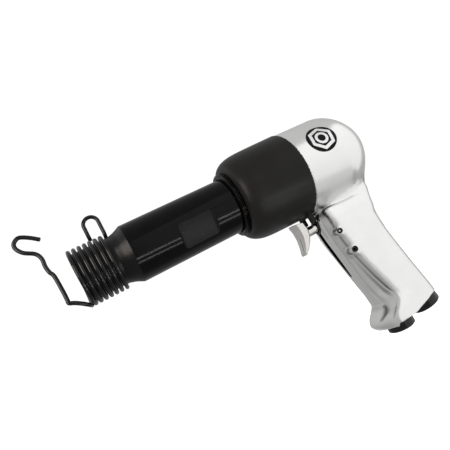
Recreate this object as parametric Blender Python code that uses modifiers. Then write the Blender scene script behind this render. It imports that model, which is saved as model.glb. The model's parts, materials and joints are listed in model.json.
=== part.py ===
"""Pneumatic air hammer with a pistol grip, as an assembly of separate pieces.

Everything is laid out in the barrel's own frame: X runs along the barrel from
the muzzle (0) to the rear, Z is up, the grip hangs down, and Y = 0 is the plane
of symmetry. At the end the whole assembly is set on the origin by its parent
empty, so that the origin is the bottom centre of its box.
"""

import math

import bmesh
import bpy
from mathutils import Matrix, Vector

MM = 0.001
GAP = 0.3                       # clearance between touching pieces

# Driving dimensions, in millimetres.
BARREL_RADIUS = 21.0
NOSE_RADIUS = 17.2
MUZZLE_X = 1.6
NECK_START = 30.0
NECK_END = 38.0
BARREL_END = 206.0
SHANK_BORE = 6.45               # for a 12.7 mm shank
SHANK_LENGTH = 50.0
PISTON_BORE = 9.6

WIRE_RADIUS = 1.4
COIL_RADIUS = 19.0
COIL_FRONT = 0.6
COIL_PITCH = 3.72
COIL_TURNS = 7.3
CLOSED_TURNS = 0.25            # flat start of the front turn

SLEEVE_FRONT = 119.6
SLEEVE_REAR = 170.2
SLEEVE_RADIUS = 34.1

BOSS_RADIUS = 27.5
BOSS_FRONT = 129.0
BARREL_SEAT = 21.3
HEAD_RADIUS = 33.5
HEAD_FRONT = 170.6
HEAD_SHOULDER = 204.0
DOME_DEPTH = 33.6
DOME_POWER = 1.75                # under 2, so the dome is a little pointed
CHEST_END = 226.3               # rear wall of the valve chest

GRIP_HALF_WIDTH = 18.0
RIB_HALF_WIDTH = 11.0
BASE_Z = -131.5

ROD_Z = -44.7
ROD_RADIUS = 3.7
ROD_FRONT = 155.5
ROD_REAR = 182.2
BUSHING_FRONT = 168.2
BUSHING_REAR = 181.0
BUSHING_RADIUS = 5.5
SEAT_REAR = 186.2
CHAMBER_END = 197.0
CHAMBER_RADIUS = 5.8
TRIGGER_TRAVEL = 4.5

INLET_X = 189.0
INLET_RADIUS = 10.4
INLET_END_Z = -140.0
EXHAUST_END = (216.4, 0.0, -136.0)
EXHAUST_TILT = math.radians(-9.0)
EXHAUST_RADIUS = 11.4
EXHAUST_BASE = 9.0              # casting's rear base, measured up the exhaust's axis

BADGE_X = 192.3
BADGE_ANGLE = math.radians(16.4)
BADGE_RADIUS = 11.3
FLAT_ANGLE = math.radians(-25.0)
FLAT_DISTANCE = 18.9

PIN_PLACE = (175.6, -54.9)
PLUG_PLACE = (178.4, -71.6)

MATERIALS = {
    "cast_aluminium": ((0.78, 0.78, 0.77), 0.28, 1.0),
    "black_steel": ((0.02, 0.02, 0.022), 0.32, 0.9),
    "black_wire": ((0.015, 0.015, 0.015), 0.35, 0.8),
    "black_rubber": ((0.025, 0.024, 0.023), 0.55, 0.0),
    "polished_steel": ((0.74, 0.72, 0.70), 0.15, 1.0),
    "hard_steel": ((0.45, 0.45, 0.46), 0.3, 1.0),
    "black_fitting": ((0.02, 0.02, 0.02), 0.35, 0.4),
    "brass": ((0.72, 0.55, 0.25), 0.3, 1.0),
    "seal_rubber": ((0.03, 0.03, 0.03), 0.6, 0.0),
    "sintered_bronze": ((0.45, 0.35, 0.22), 0.7, 0.6),
    "badge_black": ((0.01, 0.01, 0.01), 0.3, 0.0),
}


# ---------------------------------------------------------------- scene

def clear_scene():
    for item in list(bpy.data.objects):
        bpy.data.objects.remove(item, do_unlink=True)


def new_collection(name):
    collection = bpy.data.collections.new(name)
    bpy.context.scene.collection.children.link(collection)
    return collection


def make_material(name):
    colour, roughness, metallic = MATERIALS[name]
    material = bpy.data.materials.new(name)
    material.use_nodes = True
    shader = material.node_tree.nodes["Principled BSDF"]
    shader.inputs["Base Color"].default_value = (*colour, 1.0)
    shader.inputs["Roughness"].default_value = roughness
    shader.inputs["Metallic"].default_value = metallic
    return material


def material_of(name):
    return bpy.data.materials.get(name) or make_material(name)


# ---------------------------------------------------------------- tools

def place(x=0.0, y=0.0, z=0.0):
    """A point given in millimetres, as a translation."""
    return Matrix.Translation(Vector((x, y, z)) * MM)


ALONG_X = Matrix.Rotation(math.radians(90.0), 4, "Y")        # local Z to X
UPRIGHT = Matrix.Rotation(math.radians(90.0), 4, "X")        # local Y to Z
FACING_X = Matrix.Rotation(math.radians(90.0), 4, "Z") @ UPRIGHT   # local X to Y, Y to Z


def add_mesh_object(name, mesh, matrix=None):
    item = bpy.data.objects.new(name, mesh)
    PARTS.objects.link(item)
    item.matrix_world = matrix or Matrix.Identity(4)
    return item


def settle(item):
    """Turn an object into a plain closed mesh with its faces pointing out."""
    bpy.context.view_layer.update()
    graph = bpy.context.evaluated_depsgraph_get()
    mesh = bpy.data.meshes.new_from_object(item.evaluated_get(graph))
    work = bmesh.new()
    work.from_mesh(mesh)
    bmesh.ops.remove_doubles(work, verts=work.verts, dist=0.000002)
    bmesh.ops.recalc_face_normals(work, faces=work.faces)
    work.to_mesh(mesh)
    work.free()
    matrix = item.matrix_world.copy()
    name = item.name
    bpy.data.objects.remove(item, do_unlink=True)
    return add_mesh_object(name, mesh, matrix)


def turned(name, profile, matrix, steps=32):
    """Turn a profile of (along, radius) points about the local Z axis.

    A profile that starts and ends at radius 0 gives a solid piece. Any other
    profile is closed on itself and gives a ring.
    """
    mesh = bpy.data.meshes.new(name)
    work = bmesh.new()
    rail = [work.verts.new((radius * MM, 0.0, along * MM)) for along, radius in profile]
    for first, second in zip(rail, rail[1:]):
        work.edges.new((first, second))
    if profile[0][1] > 0.0:
        work.edges.new((rail[-1], rail[0]))
    work.to_mesh(mesh)
    work.free()
    item = add_mesh_object(name, mesh, matrix)
    screw = item.modifiers.new("turn", "SCREW")
    screw.axis = "Z"
    screw.angle = math.tau
    screw.steps = steps
    screw.render_steps = steps
    screw.use_merge_vertices = True
    screw.merge_threshold = 0.00001
    screw.use_normal_calculate = True
    return settle(item)


def rod(name, radius, start, end, matrix, steps=24):
    """A plain round bar from start to end along the local Z axis."""
    return turned(name, [(start, 0.0), (start, radius), (end, radius), (end, 0.0)], matrix, steps)


def ring(name, inner, outer, start, end, matrix, steps=32):
    profile = [(start, inner), (start, outer), (end, outer), (end, inner)]
    return turned(name, profile, matrix, steps)


def o_ring(name, centre_radius, thickness, matrix, steps=32):
    """A round-section seal, thickness being the radius of its section."""
    profile = []
    for index in range(8):
        angle = math.tau * index / 8
        along = thickness * math.sin(angle)
        profile.append((along, centre_radius + thickness * math.cos(angle)))
    return turned(name, profile, matrix, steps)


def bar_between(name, start, end, radius, steps=16):
    """A round bar between two points given in millimetres."""
    first = Vector(start)
    run = Vector(end) - first
    turn = run.to_track_quat("Z", "Y").to_matrix().to_4x4()
    return rod(name, radius, 0.0, run.length, place(*first) @ turn, steps)


def box(name, low, high):
    mesh = bpy.data.meshes.new(name)
    work = bmesh.new()
    bmesh.ops.create_cube(work, size=1.0)
    size = [(top - bottom) * MM for bottom, top in zip(low, high)]
    middle = [(top + bottom) / 2.0 for bottom, top in zip(low, high)]
    bmesh.ops.scale(work, vec=size, verts=work.verts)
    work.to_mesh(mesh)
    work.free()
    return add_mesh_object(name, mesh, place(*middle))


def outline_plate(name, points, thickness, matrix):
    """A flat plate from an outline in its local XY plane."""
    curve = bpy.data.curves.new(name, "CURVE")
    curve.dimensions = "2D"
    curve.fill_mode = "BOTH"
    curve.extrude = thickness * MM / 2.0
    spline = curve.splines.new("POLY")
    spline.points.add(len(points) - 1)
    for point, (x, y) in zip(spline.points, points):
        point.co = (x * MM, y * MM, 0.0, 1.0)
    spline.use_cyclic_u = True
    item = bpy.data.objects.new(name, curve)
    PARTS.objects.link(item)
    item.matrix_world = matrix
    return settle(item)


def wire(name, points, radius=WIRE_RADIUS, round_first=False):
    """A round wire through points given in millimetres."""
    curve = bpy.data.curves.new(name, "CURVE")
    curve.dimensions = "3D"
    curve.bevel_depth = radius * MM
    curve.bevel_resolution = 2
    curve.use_fill_caps = True
    spline = curve.splines.new("POLY")
    spline.points.add(len(points) - 1)
    for point, place_mm in zip(spline.points, points):
        point.co = (*(Vector(place_mm) * MM), 1.0)
    if round_first:
        spline.points[0].radius = 0.45
        spline.points[1].radius = 0.85
    item = bpy.data.objects.new(name, curve)
    PARTS.objects.link(item)
    return settle(item)


def lofted(name, sections, steps=32):
    """A skin through closed level sections, with flat ends."""
    mesh = bpy.data.meshes.new(name)
    work = bmesh.new()
    rings = []
    for section in sections:
        rings.append([work.verts.new(Vector(point) * MM) for point in section])
    for lower, upper in zip(rings, rings[1:]):
        for index in range(steps):
            after = (index + 1) % steps
            work.faces.new((lower[index], lower[after], upper[after], upper[index]))
    work.faces.new(rings[0][::-1])
    work.faces.new(rings[-1])
    work.to_mesh(mesh)
    work.free()
    return settle(add_mesh_object(name, mesh))


def smooth_through(points, per_span=4):
    """Points on a smooth curve that passes through the given points."""
    spots = [Vector(point) for point in points]
    spots = [2 * spots[0] - spots[1]] + spots + [2 * spots[-1] - spots[-2]]
    result = []
    for index in range(1, len(spots) - 2):
        before, start, end, after = spots[index - 1:index + 3]
        for step in range(per_span):
            t = step / per_span
            result.append(0.5 * (2 * start + (end - before) * t
                                 + (2 * before - 5 * start + 4 * end - after) * t ** 2
                                 + (3 * start - before - 3 * end + after) * t ** 3))
    result.append(spots[-2])
    return result


def boolean(item, other, operation):
    modifier = item.modifiers.new(operation.lower(), "BOOLEAN")
    modifier.operation = operation
    modifier.solver = "EXACT"
    modifier.object = other
    for collection in list(other.users_collection):
        collection.objects.unlink(other)
    CUTTERS.objects.link(other)
    other.hide_render = True
    other.display_type = "WIRE"


def cut(item, *others):
    for other in others:
        boolean(item, other, "DIFFERENCE")
    return item


def join(item, *others):
    for other in others:
        boolean(item, other, "UNION")
    return item


def finish(item, material, sharp_angle=35.0):
    """Give a piece its material and shade its round faces smooth."""
    if item.modifiers:
        item = settle(item)
    item.data.materials.clear()
    item.data.materials.append(material_of(material))
    item.data.shade_smooth()
    item.data.set_sharp_from_angle(angle=math.radians(sharp_angle))
    item.parent = TOOL
    return item


def set_origin(item, x, y, z):
    """Move an object's origin, in millimetres, without moving its shape."""
    target = Vector((x, y, z)) * MM
    shift = item.matrix_world.inverted() @ target
    item.data.transform(Matrix.Translation(-shift))
    item.matrix_world = item.matrix_world @ Matrix.Translation(shift)


# ---------------------------------------------------------------- housing

def level_section(front, rear, half_width, z, front_power, steps=32):
    """A level oval section: blunt at the front, round at the rear."""
    middle = (front + rear) / 2.0
    half = (rear - front) / 2.0
    points = []
    for index in range(steps):
        angle = math.tau * index / steps
        along = math.cos(angle)
        across = math.sin(angle)
        power = front_power if along < 0.0 else 2.3
        x = middle + half * math.copysign(abs(along) ** (2.0 / power), along)
        y = half_width * math.copysign(abs(across) ** (2.0 / power), across)
        points.append((x, y, z))
    return points


def exhaust_axis():
    """The exhaust's own frame: its axis leans back, with 0 at the cap's end."""
    return place(*EXHAUST_END) @ Matrix.Rotation(EXHAUST_TILT, 4, "Y")


def grip_body():
    """The broad part of the grip, which the palm holds."""
    levels = [
        (-12.0, 178.0, 231.4), (-32.0, 175.0, 223.4), (-43.0, 175.0, 219.2),
        (-58.0, 175.2, 217.2), (-72.0, 177.4, 218.0), (-86.0, 181.0, 219.9),
        (-103.0, 186.0, 222.4), (-114.0, 188.0, 224.3), (-121.0, 185.5, 225.6),
        (-125.5, 179.5, 226.3), (BASE_Z, 177.0, 226.6),
    ]
    sections = [level_section(front, rear, GRIP_HALF_WIDTH, z, 3.4) for z, front, rear in levels]
    return lofted("grip_body", sections)


def finger_rib():
    """The narrower rib in front of the palm part, with its flared toe."""
    levels = [
        (-22.0, 172.5, 206.0), (-35.5, 171.0, 206.0), (-41.0, 169.2, 206.0), (-47.0, 168.6, 206.0),
        (-58.0, 169.4, 206.0), (-72.0, 171.2, 206.0), (-88.0, 173.5, 206.0), (-102.0, 175.9, 206.0),
        (-112.0, 177.6, 206.0), (-116.5, 178.4, 206.0), (-120.0, 175.0, 206.0),
        (-124.0, 170.4, 206.0), (-128.0, 168.6, 200.0), (BASE_Z + GAP, 169.4, 178.2),
        (-133.0, 172.4, 177.8),
    ]
    sections = [level_section(front, rear, RIB_HALF_WIDTH, z, 2.2) for z, front, rear in levels]
    return lofted("finger_rib", sections)


def head_profile():
    """The head's outer turned profile: boss, cylinder and domed rear."""
    profile = [(BOSS_FRONT, 0.0), (BOSS_FRONT, BOSS_RADIUS - 1.0), (BOSS_FRONT + 1.0, BOSS_RADIUS)]
    profile += [(HEAD_FRONT, BOSS_RADIUS), (HEAD_FRONT, HEAD_RADIUS)]
    for index in range(9):
        angle = math.radians(90.0 * index / 8)
        rise = math.sin(angle) ** (2.0 / DOME_POWER)
        reach = abs(math.cos(angle)) ** (2.0 / DOME_POWER)
        profile.append((HEAD_SHOULDER + DOME_DEPTH * rise, HEAD_RADIUS * reach))
    profile[-1] = (HEAD_SHOULDER + DOME_DEPTH, 0.0)
    return profile


def make_housing():
    housing = turned("handle_housing", head_profile(), ALONG_X, 56)
    join(housing, grip_body(), finger_rib())
    step = box("rear_base_step", (-60.0, -30.0, -20.0), (30.0, 30.0, EXHAUST_BASE))
    step.matrix_world = exhaust_axis() @ step.matrix_world
    cut(housing, step)
    housing = settle(housing)
    bore = [(BOSS_FRONT - 2.0, 0.0), (BOSS_FRONT - 2.0, BARREL_SEAT), (176.0, BARREL_SEAT),
            (178.0, 25.0), (198.0, 25.0), (200.0, BARREL_SEAT), (CHEST_END, BARREL_SEAT),
            (CHEST_END, 0.0)]
    throttle = [(160.0, 0.0), (160.0, CHAMBER_RADIUS), (CHAMBER_END, CHAMBER_RADIUS),
                (CHAMBER_END, 0.0)]
    inlet = [(BASE_Z - 2.0, 0.0), (BASE_Z - 2.0, 8.3), (-107.0, 8.3), (-105.0, 5.6),
             (ROD_Z, 5.6), (ROD_Z, 0.0)]
    exhaust = [(-2.0, 0.0), (-2.0, 8.4), (42.0, 8.4), (42.0, 0.0)]
    cut(housing,
        turned("head_bore", bore, ALONG_X, 48),
        turned("throttle_bore", throttle, place(z=ROD_Z) @ ALONG_X, 32),
        turned("inlet_bore", inlet, place(x=INLET_X), 24),
        turned("exhaust_bore", exhaust, exhaust_axis(), 32))
    housing = settle(housing)
    passages = [
        bar_between("exhaust_fall", (192.0, 8.0, -22.0), (205.5, 2.0, -62.0), 4.0, 12),
        rod("exhaust_drop", 6.0, 40.0, 80.0, exhaust_axis(), 16),
        bar_between("live_air", (182.5, -3.0, -42.0), (213.0, -10.0, -17.0), 3.0, 12),
        rod("pin_hole", 1.8, -24.0, 24.0, place(PIN_PLACE[0], 0.0, PIN_PLACE[1]) @ UPRIGHT, 12),
        rod("plug_hole", 2.3, 3.6, 24.0, place(PLUG_PLACE[0], 0.0, PLUG_PLACE[1]) @ UPRIGHT, 16),
        front_slot(),
    ]
    cut(housing, *passages)
    housing = settle(housing)
    return finish(housing, "cast_aluminium")


def front_slot():
    """The narrow cast slot down the front rib, which tapers at its lower end."""
    outline = [(-2.3, -47.0), (2.3, -47.0), (2.3, -68.0), (1.9, -78.0), (1.1, -89.0),
               (-1.1, -89.0), (-1.9, -78.0), (-2.3, -68.0)]
    return outline_plate("slot_cutter", outline, 20.0, place(x=169.0) @ FACING_X)


# ---------------------------------------------------------------- barrel group

def make_barrel():
    profile = [
        (MUZZLE_X, SHANK_BORE + 1.4), (MUZZLE_X, NOSE_RADIUS - 1.2), (MUZZLE_X + 1.2, NOSE_RADIUS),
        (NECK_START - 0.4, NOSE_RADIUS), (NECK_START, 18.2), (NECK_START + 3.0, 18.7),
        (NECK_END, BARREL_RADIUS), (133.6, BARREL_RADIUS), (133.6, 18.6), (137.0, 18.6),
        (137.0, BARREL_RADIUS), (177.0, BARREL_RADIUS), (178.5, 19.5), (198.0, 19.5),
        (199.5, BARREL_RADIUS), (BARREL_END, BARREL_RADIUS), (BARREL_END, PISTON_BORE),
        (SHANK_LENGTH + 2.0, PISTON_BORE), (SHANK_LENGTH, SHANK_BORE), (MUZZLE_X + 1.4, SHANK_BORE),
    ]
    barrel = turned("barrel", profile, ALONG_X, 48)
    for index in range(2):
        turn = Matrix.Rotation(math.radians(45.0 + 90.0 * index), 4, "X")
        port = rod("port_cutter", 2.2, -30.0, 30.0, place(x=188.0) @ turn, 12)
        cut(barrel, port)
    flats = []
    for side in (0.0, math.pi):
        turn = Matrix.Rotation(-FLAT_ANGLE + side, 4, "X")
        block = box("flat_cutter", (70.5, -30.0, -22.0), (97.8, -FLAT_DISTANCE, 22.0))
        block.matrix_world = turn @ block.matrix_world
        flats.append(block)
    cut(barrel, *flats)
    return finish(barrel, "black_steel")


def make_piston():
    front = SHANK_LENGTH + 2.6
    profile = [(0.0, 0.0), (0.0, 7.6), (1.6, 9.3), (22.0, 9.3), (23.0, 8.7), (42.0, 8.7),
               (43.0, 9.3), (62.4, 9.3), (64.0, 7.6), (64.0, 0.0)]
    piston = turned("piston", profile, place(x=front) @ ALONG_X, 32)
    return finish(piston, "hard_steel")


def make_valve_chest():
    case = [(206.4, PISTON_BORE), (206.4, 20.9), (213.4, 20.9), (213.4, 16.2), (209.6, 16.2),
            (209.6, PISTON_BORE + 1.0), (208.0, PISTON_BORE)]
    cover = [(213.7, 0.0), (213.7, 20.9), (225.8, 20.9), (225.8, 13.0), (218.5, 13.0),
             (218.5, 0.0)]
    case = turned("valve_case", case, ALONG_X, 48)
    cover = turned("valve_cover", cover, ALONG_X, 48)
    for side in (1.0, -1.0):
        cut(case, rod("dowel_hole", 1.3, 200.0, 230.0, place(z=18.7 * side) @ ALONG_X, 12))
        cut(cover, rod("dowel_hole", 1.3, 200.0, 230.0, place(z=18.7 * side) @ ALONG_X, 12))
    for index in range(4):
        angle = math.radians(45.0 + 90.0 * index)
        spot = place(y=11.0 * math.cos(angle), z=11.0 * math.sin(angle))
        cut(cover, rod("air_hole", 1.6, 205.0, 230.0, spot @ ALONG_X, 12))
    finish(case, "hard_steel")
    finish(cover, "hard_steel")
    for name, side in (("valve_dowel_upper", 1.0), ("valve_dowel_lower", -1.0)):
        dowel = rod(name, 1.0, 207.0, 225.0, place(z=18.7 * side) @ ALONG_X, 12)
        finish(dowel, "hard_steel")
    disc = ring("valve_disc", 11.2, 15.6, 0.0, 1.8, place(x=211.6) @ ALONG_X, 40)
    finish(disc, "hard_steel")


def make_barrel_seal():
    seal = o_ring("barrel_seal", 19.95, 1.05, place(x=135.3) @ ALONG_X, 40)
    finish(seal, "seal_rubber")


# ---------------------------------------------------------------- sleeve

def make_sleeve():
    inner = BOSS_RADIUS + GAP
    outer = [(SLEEVE_FRONT, 25.6), (120.4, 27.6), (122.0, 29.4), (124.6, 31.0), (128.4, 32.4),
             (133.0, 33.2), (140.0, 33.6), (169.2, SLEEVE_RADIUS), (SLEEVE_REAR, SLEEVE_RADIUS - 0.8)]
    hollow = [(SLEEVE_REAR, inner), (BOSS_FRONT - GAP, inner), (BOSS_FRONT - GAP, BARREL_RADIUS + GAP),
              (SLEEVE_FRONT, BARREL_RADIUS + GAP)]
    sleeve = turned("rubber_sleeve", outer + hollow, ALONG_X, 56)
    tab = box("sleeve_tab", (163.6, -9.5, -40.4), (SLEEVE_REAR - 2.4, 9.5, -31.0))
    notch = box("tab_notch", (160.0, -6.4, -45.0), (SLEEVE_REAR + 2.0, 6.4, -35.0))
    join(sleeve, tab)
    cut(sleeve, notch)
    finish(sleeve, "black_rubber")
    band = ring("sleeve_retaining_ring", BARREL_RADIUS + GAP, 25.0, 116.2, 119.2, ALONG_X, 48)
    finish(band, "black_steel")


# ---------------------------------------------------------------- retainer

def coil_point(turn_angle):
    """A point of the coil; 0 is the top and the angle grows towards -Y."""
    turns = (turn_angle - math.pi) / math.tau
    x = COIL_FRONT + COIL_PITCH * max(0.0, turns - CLOSED_TURNS)
    return (x, -COIL_RADIUS * math.sin(turn_angle), COIL_RADIUS * math.cos(turn_angle))


def make_retainer_coil():
    start = math.pi + (WIRE_RADIUS + GAP) / COIL_RADIUS
    end = math.pi + math.tau * COIL_TURNS
    steps_per_turn = 18
    count = int((end - start) / math.tau * steps_per_turn)
    points = [coil_point(start + (end - start) * index / count) for index in range(count + 1)]
    last = Vector(points[-1])
    loop_x = last.x + 1.7
    loop_y = 9.5
    loop_radius = 5.3
    top = 33.6
    points += [(last.x + 0.6, 14.4, 15.8), (last.x + 1.2, 11.4, 19.2), (loop_x, loop_y, 23.5)]
    points.append((loop_x, loop_y, 28.0))
    for index in range(9):
        angle = math.radians(180.0 * index / 8)
        points.append((loop_x - loop_radius + loop_radius * math.cos(angle), loop_y,
                       top + loop_radius * math.sin(angle)))
    points.append((loop_x - 2 * loop_radius, loop_y, 22.6))
    coil = wire("retainer_coil", points)
    finish(coil, "black_wire", 60.0)


def make_retainer_gate():
    route = [
        (COIL_FRONT, 0.0, -COIL_RADIUS), (0.4, -2.6, -COIL_RADIUS), (-0.6, -6.0, -18.4),
        (-3.4, -8.6, -16.4), (-7.2, -9.8, -14.0), (-10.0, -10.0, -12.4),
        (-10.4, -9.8, -9.8), (-10.6, -9.4, -2.4), (-11.3, -9.0, 7.2), (-12.9, -9.0, 11.2),
        (-13.6, -9.0, 15.6), (-13.5, -9.0, 21.2), (-15.8, -9.0, 25.6), (-21.7, -9.0, 29.4),
        (-24.6, -9.0, 33.4), (-24.8, -9.0, 36.8), (-22.4, -9.0, 39.2), (-19.6, -9.0, 39.5),
        (-14.6, -9.0, 36.8), (-9.4, -9.0, 32.9),
    ]
    gate = wire("retainer_gate", smooth_through(route, 2), round_first=True)
    gate = finish(gate, "black_wire", 60.0)
    set_origin(gate, *route[0])


# ---------------------------------------------------------------- trigger

def make_trigger():
    outline = [
        (149.4, -34.6), (160.2, -36.6), (160.6, -41.0), (159.8, -46.0), (157.4, -51.0),
        (153.6, -55.6), (150.2, -58.6), (148.2, -58.8), (147.9, -56.8), (149.5, -51.5),
        (150.4, -45.5), (150.4, -39.5),
    ]
    fin = outline_plate("trigger_finger", outline, 11.0, UPRIGHT)
    soften = fin.modifiers.new("soften", "BEVEL")
    soften.width = 1.2 * MM
    soften.segments = 2
    soften.limit_method = "ANGLE"
    soften.angle_limit = math.radians(60.0)
    fin = settle(fin)
    hole = rod("rod_hole", ROD_RADIUS + GAP, ROD_FRONT, 175.0, place(z=ROD_Z) @ ALONG_X, 24)
    cut(fin, hole)
    fin = finish(fin, "polished_steel")
    stem = rod("trigger_rod", ROD_RADIUS, ROD_FRONT + GAP, ROD_REAR, place(z=ROD_Z) @ ALONG_X, 32)
    stem = finish(stem, "polished_steel")
    set_origin(fin, ROD_FRONT, 0.0, ROD_Z)
    set_origin(stem, ROD_FRONT, 0.0, ROD_Z)


def make_trigger_guide():
    """The rod's bushing, with a tongue in the slot that the cross pin holds."""
    profile = [(BUSHING_FRONT, 4.05), (BUSHING_FRONT, 5.0), (BUSHING_FRONT + 0.5, BUSHING_RADIUS),
               (BUSHING_REAR, BUSHING_RADIUS), (BUSHING_REAR, 5.0), (177.6, 5.0), (177.6, 4.05)]
    bushing = turned("trigger_bushing", profile, place(z=ROD_Z) @ ALONG_X, 32)
    tongue = box("tongue", (171.4, -1.7, -59.5), (178.6, 1.7, -49.9))
    join(bushing, tongue)
    bushing = settle(bushing)
    bushing.name = "trigger_bushing"
    hole = rod("pin_groove", 1.8, -8.0, 8.0, place(PIN_PLACE[0], 0.0, PIN_PLACE[1]) @ UPRIGHT, 12)
    cut(bushing, hole)
    finish(bushing, "black_fitting")
    seal = o_ring("trigger_seal", 4.35, 0.5, place(x=178.8, z=ROD_Z) @ ALONG_X, 24)
    finish(seal, "seal_rubber")
    pin_axis = place(PIN_PLACE[0], 0.0, PIN_PLACE[1]) @ UPRIGHT
    finish(ring("bushing_pin", 0.7, 1.5, -13.0, 13.0, pin_axis, 16), "hard_steel")
    plug_axis = place(PLUG_PLACE[0], 0.0, PLUG_PLACE[1]) @ UPRIGHT
    plug = rod("passage_plug_screw", 2.0, 5.0, 15.0, plug_axis, 24)
    cut(plug, rod("hex_socket", 1.15, 12.6, 18.0, plug_axis, 6))
    finish(plug, "black_steel")


def make_throttle():
    line = place(z=ROD_Z) @ ALONG_X
    seat = ring("throttle_seat", ROD_RADIUS + GAP, CHAMBER_RADIUS - GAP, 184.0, SEAT_REAR, line, 24)
    finish(seat, "brass")
    head_front = SEAT_REAR + 0.5
    profile = [(ROD_REAR + GAP, 0.0), (ROD_REAR + GAP, 1.8), (head_front, 1.8), (head_front, 4.6),
               (head_front + 2.2, 4.6), (head_front + 2.2, 1.6), (head_front + 3.2, 1.6),
               (head_front + 3.2, 0.0)]
    valve = turned("throttle_valve", profile, line, 24)
    finish(valve, "brass")
    spring_front = head_front + 3.2 + TRIGGER_TRAVEL + 2.0 * GAP
    turns = 2.0
    count = 24
    points = []
    for index in range(count + 1):
        angle = math.tau * turns * index / count
        along = spring_front + 1.2 * index / count
        points.append((along, 3.2 * math.cos(angle), ROD_Z + 3.2 * math.sin(angle)))
    spring = wire("throttle_spring", points, 0.28)
    finish(spring, "hard_steel", 60.0)


# ---------------------------------------------------------------- base fittings

def make_inlet():
    inner = 5.7
    top = BASE_Z - GAP
    profile = [(-111.5, inner), (-111.5, 8.0), (-113.0, 8.0), (-113.0, 6.8), (-115.2, 6.8),
               (-115.2, 8.0), (top, 8.0), (top, INLET_RADIUS),
               (INLET_END_Z + 1.0, INLET_RADIUS), (INLET_END_Z, INLET_RADIUS - 1.0),
               (INLET_END_Z, inner + 1.0), (INLET_END_Z + 1.0, inner)]
    finish(turned("inlet_bushing", profile, place(x=INLET_X), 40), "black_fitting")
    finish(o_ring("inlet_seal", 7.45, 0.6, place(x=INLET_X, z=-114.1), 24), "seal_rubber")
    screen = [(-107.6, 0.0), (-107.6, 4.0), (-111.0, 7.0), (-111.0, 5.0), (-108.6, 2.6), (-108.6, 0.0)]
    finish(turned("inlet_screen", screen, place(x=INLET_X), 24), "brass")


def make_exhaust():
    """The swivelling deflector, its keeper ring and the muffler above it."""
    axis = exhaust_axis()
    shoulder = EXHAUST_BASE - GAP
    profile = [(17.0, 4.5), (17.0, 8.1), (shoulder, 8.1), (shoulder, EXHAUST_RADIUS),
               (1.0, EXHAUST_RADIUS), (0.0, EXHAUST_RADIUS - 1.0), (0.0, 0.0), (2.4, 0.0), (2.4, 4.5)]
    groove = [(14.2, 7.1), (14.2, 9.5), (12.4, 9.5), (12.4, 7.1)]
    deflector = turned("exhaust_deflector", profile, axis, 40)
    cut(deflector, turned("ring_groove", groove, axis, 40))
    for index in range(3):
        spin = Matrix.Rotation(math.radians(60.0 + 30.0 * index), 4, "Z")
        cut(deflector, rod("exhaust_port", 1.3, 2.0, 20.0, axis @ place(z=4.8) @ spin @ ALONG_X, 12))
    deflector = finish(deflector, "black_fitting")
    set_origin(deflector, *EXHAUST_END)
    finish(ring("deflector_ring", 7.4, 8.2, 13.9, 12.7, axis, 32), "hard_steel")
    muffler = [(38.0, 0.0), (38.0, 7.4), (19.0, 7.4), (19.0, 4.6), (35.0, 4.6), (35.0, 0.0)]
    finish(turned("exhaust_muffler", muffler, axis, 24), "sintered_bronze")


def make_badge():
    """A thin round badge that lies on the curve of the head."""
    badge = ring("badge", HEAD_RADIUS + 0.2, SLEEVE_RADIUS, BADGE_X - 14.0, BADGE_X + 11.5,
                 ALONG_X, 96)
    turn = Matrix.Rotation(-BADGE_ANGLE, 4, "X") @ Matrix.Rotation(math.radians(90.0), 4, "X")
    disc = rod("badge_disc", BADGE_RADIUS, 25.0, 40.0, place(x=BADGE_X) @ turn, 48)
    boolean(badge, disc, "INTERSECT")
    finish(badge, "badge_black")


# ---------------------------------------------------------------- assembly

def stand_on_origin():
    """Move the parent empty so the origin is the bottom centre of the box."""
    bpy.context.view_layer.update()
    low = [math.inf] * 3
    high = [-math.inf] * 3
    for item in PARTS.objects:
        if item.type != "MESH":
            continue
        for corner in item.data.vertices:
            spot = item.matrix_world @ corner.co
            low = [min(pair) for pair in zip(low, spot)]
            high = [max(pair) for pair in zip(high, spot)]
    TOOL.location = (-(low[0] + high[0]) / 2.0, -(low[1] + high[1]) / 2.0, -low[2])
    bpy.context.view_layer.update()


clear_scene()
PARTS = new_collection("air_hammer")
CUTTERS = new_collection("cutters")
TOOL = bpy.data.objects.new("air_hammer_frame", None)
PARTS.objects.link(TOOL)

make_housing()
make_barrel()
make_piston()
make_valve_chest()
make_barrel_seal()
make_sleeve()
make_retainer_coil()
make_retainer_gate()
make_trigger()
make_trigger_guide()
make_throttle()
make_inlet()
make_exhaust()
make_badge()
stand_on_origin()
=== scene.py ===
"""Looks of the pneumatic air hammer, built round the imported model.

Shapes are laid out in the barrel's own frame, in millimetres: X runs along the
barrel from the muzzle to the rear, Z is up and Y = 0 is the plane of symmetry.
"""

import json
import math

import bmesh
import bpy
import numpy as np
from mathutils import Matrix, Vector

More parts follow.
